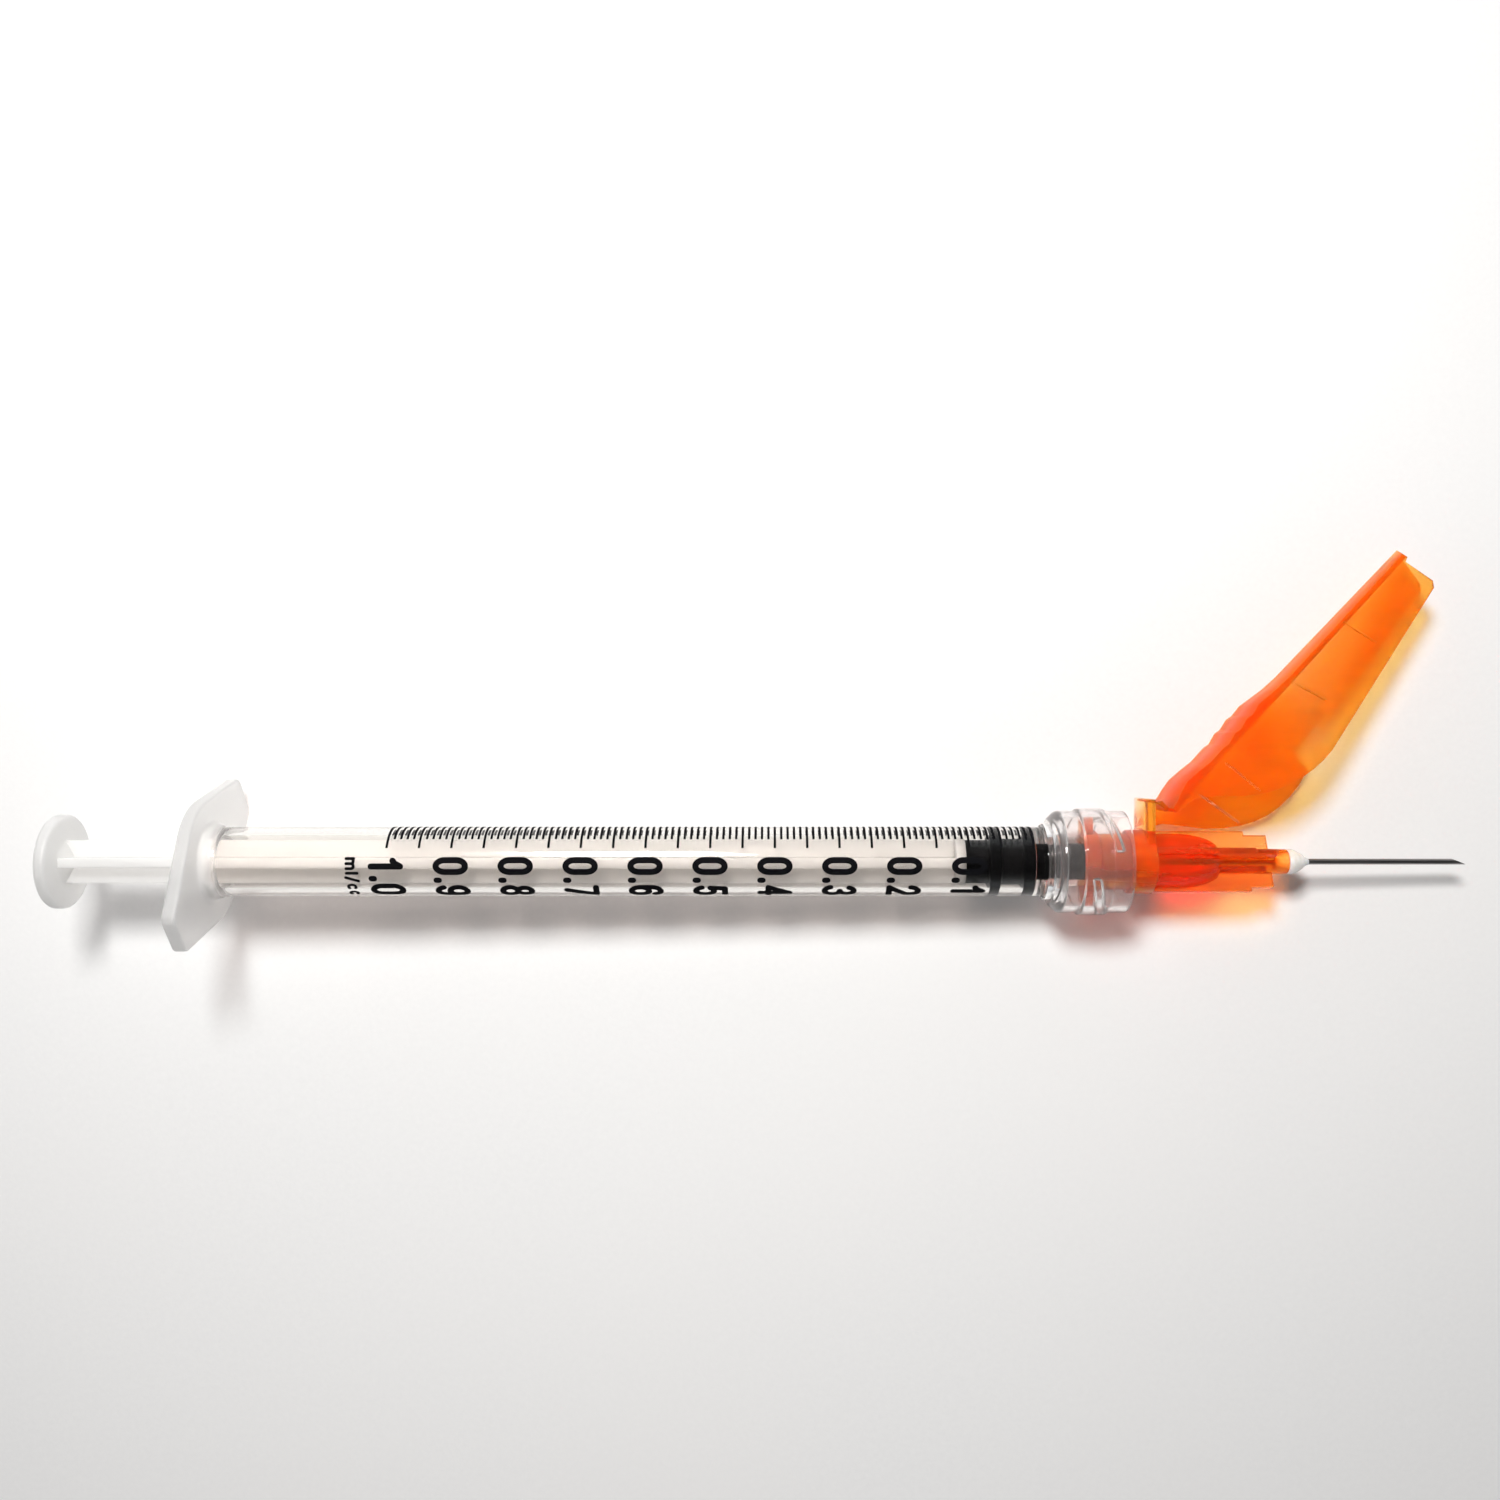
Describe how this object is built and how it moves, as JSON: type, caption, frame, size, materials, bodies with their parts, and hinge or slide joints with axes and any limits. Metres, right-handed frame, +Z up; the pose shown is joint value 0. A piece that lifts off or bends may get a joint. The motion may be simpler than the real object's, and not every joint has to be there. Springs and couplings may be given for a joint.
{
  "type": "luer-lock syringe with hinged safety needle",
  "caption": "Slim graduated luer-lock syringe with a plunger, a screw-on needle and an orange shield hinged to the needle hub.",
  "frame": {"origin": "on the barrel's axis at the zero graduation", "axes": "+X along the barrel's axis towards the needle, +Y to the side that the shield opens to, +Z up"},
  "size_m": [0.1262, 0.0355, 0.0162],
  "materials": {
    "clear_barrel": "clear polypropylene, glossy",
    "clear_collar": "clear polycarbonate, glossy",
    "milky_plastic": "translucent white polypropylene, satin",
    "black_rubber": "black elastomer, siliconed",
    "white_adhesive": "cured white epoxy, glossy",
    "orange_hub": "translucent orange polypropylene",
    "steel": "drawn stainless tube",
    "orange_shield": "translucent orange polypropylene"
  },
  "bodies": {
    "syringe": {"barrel": "clear_barrel", "luer_collar": "clear_collar"},
    "plunger": {"plunger_rod": "milky_plastic", "stopper": "black_rubber"},
    "draw": {"adhesive_bead": "white_adhesive"},
    "needle": {"needle_hub": "orange_hub", "cannula": "steel", "shield_ring": "orange_shield", "living_hinge": "orange_shield"},
    "guard": {"shield": "orange_shield", "needle_lock": "orange_shield"}
  },
  "joints": [
    {"name": "plunger_slide", "type": "slide", "parent": "syringe", "child": "plunger", "axis": [-1, 0, 0], "range_m": [0, 0.066]},
    {"name": "needle_draw", "type": "slide", "parent": "syringe", "child": "draw", "axis": [1, 0, 0], "range_m": [0, 0.005]},
    {"name": "needle_twist", "type": "hinge", "parent": "draw", "child": "needle", "pos_m": [0, 0, 0], "axis": [1, 0, 0], "range_deg": [0, 360]},
    {"name": "shield_hinge", "type": "hinge", "parent": "needle", "child": "guard", "pos_m": [0.01107, 0.0054, 0], "axis": [0, 0, 1], "range_deg": [-52.8, 118.2]}
  ],
  "couplings": [
    {"joint": "needle_draw", "follows": "needle_twist", "m_per_rad": 0.00079577}
  ]
}
